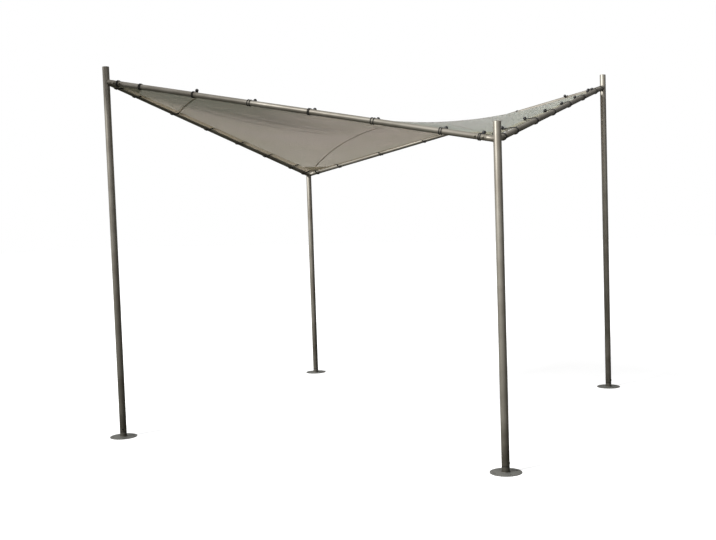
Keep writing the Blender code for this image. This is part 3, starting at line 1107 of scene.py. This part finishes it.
# %% Routes of the elastic
BALL_RADIUS = 0.0125
CORD_RADIUS = 0.0027
WRAP_STEPS = 12
WRAP_START = 288
WRAP_END = 76
SPREAD_MM = (5, 5.5, 4.5, 9.5, 5, 9.5, 7.5, 5.5)
BALL_REACH_MM = {
    "front": (66, 70, 34, 66, 72, 76, 86, 74),
    "right": (70, 62, 60, 50, 54, 70, 84, 52),
    "back": (70, 76, 62, 70, 66, 76, 80, 74),
    "left": (66, 72, 70, 64, 70, 74, 82, 76),
}
BALL_LIFT_MM = {
    "front": (14, 13.5, 38, 24, 18, 14, 13.5, 16),
    "right": (14, 13.5, 14, 14.5, 14, 15, 13.5, 15),
    "back": (16, 22, 19, 15, 17, 13.5, 14, 16),
    "left": (22, 24, 18, 21, 16, 15, 13.5, 15),
}
BALL_BELOW = ("back", 2)
EYELET_PASS = 0.004
INSIDE_SPREAD = 0.0029
NECK_RISE = 0.002


def smooth_route(points, steps=5):
    """A rounded line through the points: a Catmull-Rom spline."""
    route = []
    padded = [points[0]] + points + [points[-1]]
    for before, start, end, after in zip(padded, padded[1:], padded[2:], padded[3:]):
        for step in range(steps):
            t = step / steps
            route.append(0.5 * ((2 * start) + (end - before) * t
                                + (2 * before - 5 * start + 4 * end - after) * t * t
                                + (3 * start - before - 3 * end + after) * t ** 3))
    route.append(points[-1])
    return route


def strand(point, seat, ball, along, inward, up, hand, spread):
    """One strand, from the ball down through the eyelet, round the beam and back to the ball's neck."""
    near = along * (INSIDE_SPREAD * hand)
    wide = along * (spread * hand)
    wrap = BEAM_RADIUS + CORD_RADIUS
    around = []
    for step in range(WRAP_STEPS + 1):
        angle = radians(WRAP_START + (WRAP_END - WRAP_START) * step / WRAP_STEPS)
        around.append(point + wide + wrap * (cos(angle) * inward + sin(angle) * up))
    below = seat - up * EYELET_PASS + near
    down = [ball + near, seat + up * EYELET_PASS + near, below]
    down += [below.lerp(around[0], share) for share in (0.25, 0.5, 0.75, 0.9)]
    neck = ball.lerp(seat, 0.5) + up * NECK_RISE
    beside = neck + along * (0.008 * hand) + up * 0.001
    back = [around[-1].lerp(beside, share) for share in (0.15, 0.4, 0.7)] + [beside]
    hook = [neck + along * (0.006 * hand) + inward * 0.007, neck + inward * 0.0095]
    return down + around + back + hook


def make_tie(side, number):
    """The doubled loop of one tie as a single cord, and the place of its ball."""
    point, seat, along, inward, up = cloth_frame(side, TIE_PLACES[number])
    if (side, number) == BALL_BELOW:
        up = -up
    tables = (BALL_REACH_MM[side], BALL_LIFT_MM[side], SPREAD_MM)
    reach, lift, spread = [table[number] / 1000 for table in tables]
    ball = seat + inward * (reach - TIE_REACH) + up * lift
    there, back = [strand(point, seat, ball, along, inward, up, hand, spread) for hand in (1, -1)]
    return tube_along(smooth_route(there + back[-2::-1]), CORD_RADIUS, sides=1), ball


for side in SIDES:
    cords = bmesh.new()
    balls = bmesh.new()
    for number in range(len(TIE_PLACES)):
        cord, ball = make_tie(side, number)
        merge_into(cords, cord)
        bmesh.ops.create_uvsphere(balls, u_segments=24, v_segments=16, radius=BALL_RADIUS,
                                  matrix=Matrix.Translation(ball))
    finish_piece(f"ties_{side}", cords, ELASTIC)
    finish_piece(f"balls_{side}", balls, BALL_PLASTIC)
print("ball ties:", 4 * len(TIE_PLACES))

# %% [markdown]
# ## The sheet's own size
# Cut flat, the sail is 2.94 m square, a little more than the square it fills, because the saddle's slopes
# need it. Its ties stretch it between the four beams.

# %% [markdown]
# ## Floor and light
# The gazebo stands on a plain pale floor in a soft white studio. Round tubes only look round where one side
# is brighter than the other, so the room is bright towards the front left and above, and dim towards the
# right and the back. A large lamp, far off to the front left, adds the soft highlight. The floor has a
# little light of its own, so that the eye sees no grey, but it throws back only a muted light, which
# darkens the undersides of the tubes. Two dark cards, which only the light sees, hold light back from the
# front left corner, most of all at its top, and from the middle of the front beam. Colours are shown as
# they are, without a film curve.

# %% Floor, room, lamp and cards
FLOOR_SIZE = 80.0
FLOOR_PALE = (0.9, 0.9, 0.9, 1.0)
FLOOR_BOUNCE = (0.07, 0.071, 0.057, 1.0)
FLOOR_DARK = (0.0, 0.0, 0.0, 1.0)
FLOOR_LIFT = 0.5
BRIGHT_WAY = Vector((-0.42, -0.86, 0.28)).normalized()
ROOM_DIM = 0.09
ROOM_BRIGHT = 0.95
ROOM_TOP = 0.3
LAMP_PLACE = Vector((-12.2, -22.5, 17.5))
LAMP_SIZE = 3.5
LAMP_WATTS = 9000.0
CARD_COLOUR = (30, 30, 30)
CARD_Y = -2.4
CARD_SPLIT = (2.9, 3.2)
CARDS = {
    "corner_card": (0.97, 0.45, ((-2.3, 0.3), (-2.1, 3.3), (-1.98, 3.5), (-1.75, 3.95), (-1.5, 3.8),
                                 (-1.2, 3.45), (-0.72, 3.2), (-0.72, 0.3))),
    "beam_card": (0.45, 0.45, ((-0.9, 2.98), (-0.9, 3.28), (0.45, 3.0), (0.45, 2.7))),
}


def make_floor():
    bm = bmesh.new()
    bmesh.ops.create_grid(bm, x_segments=1, y_segments=1, size=FLOOR_SIZE / 2)
    pale = Finish("pale_floor", roughness=0.95, specular=0.1)
    seen = pale.node("LightPath", {}, {}, output="Is Camera Ray")
    for socket, unseen in (("Base Color", FLOOR_BOUNCE), ("Emission Color", FLOOR_DARK)):
        pale.feed(socket, pale.mix(seen, unseen, FLOOR_PALE))
    pale.shader.inputs["Emission Strength"].default_value = FLOOR_LIFT
    floor = make_object("floor", bm, pale.material)


def make_room():
    room = bpy.data.worlds.new("room")
    room.use_nodes = True
    tree = room.node_tree
    background = tree.nodes["Background"]
    background.inputs["Color"].default_value = (1.0, 1.0, 1.0, 1.0)
    start = Signal(tree, background.outputs[0])
    way = start.node("TexCoord", {}, {}, output="Generated")
    facing, height = [start.node("VectorMath", {"operation": "DOT_PRODUCT"}, {0: way, 1: goal},
                                 output="Value") for goal in (BRIGHT_WAY, UP)]
    seen = start.node("LightPath", {}, {}, output="Is Camera Ray")
    light = facing.rise(-0.5, 0.9) * (ROOM_BRIGHT - ROOM_DIM) + ROOM_DIM + height.rise(0.1, 1.0) * ROOM_TOP
    shown = light * (1 - seen) + seen
    tree.links.new(shown.socket, background.inputs["Strength"])
    bpy.context.scene.world = room


def make_lamp():
    lamp = add_object("lamp", bpy.data.lights.new("lamp", "AREA"))
    lamp.data.shape = "SQUARE"
    lamp.data.size = LAMP_SIZE
    lamp.data.energy = LAMP_WATTS
    lamp.location = LAMP_PLACE
    lamp.rotation_euler = (-LAMP_PLACE).to_track_quat("-Z", "Y").to_euler()


def make_card(name, upper, lower, outline):
    """A dark card that the camera doesn't see, and how much light its upper and lower parts keep off."""
    bm = bmesh.new()
    bmesh.ops.contextual_create(bm, geom=[bm.verts.new((x, CARD_Y, height)) for x, height in outline])
    dark = Finish(name, roughness=0.9, specular=0.1)
    dark.shader.inputs["Base Color"].default_value = colour(CARD_COLOUR)
    dark.feed("Alpha", dark.split(dark.place())[2].rise(*CARD_SPLIT) * (upper - lower) + lower)
    card = make_object(name, bm, dark.material)
    card.visible_camera = False


make_floor()
make_room()
make_lamp()
for name, card in CARDS.items():
    make_card(name, *card)
print("floor, room, lamp and", len(CARDS), "cards")
bpy.context.scene.view_settings.view_transform = "Standard"
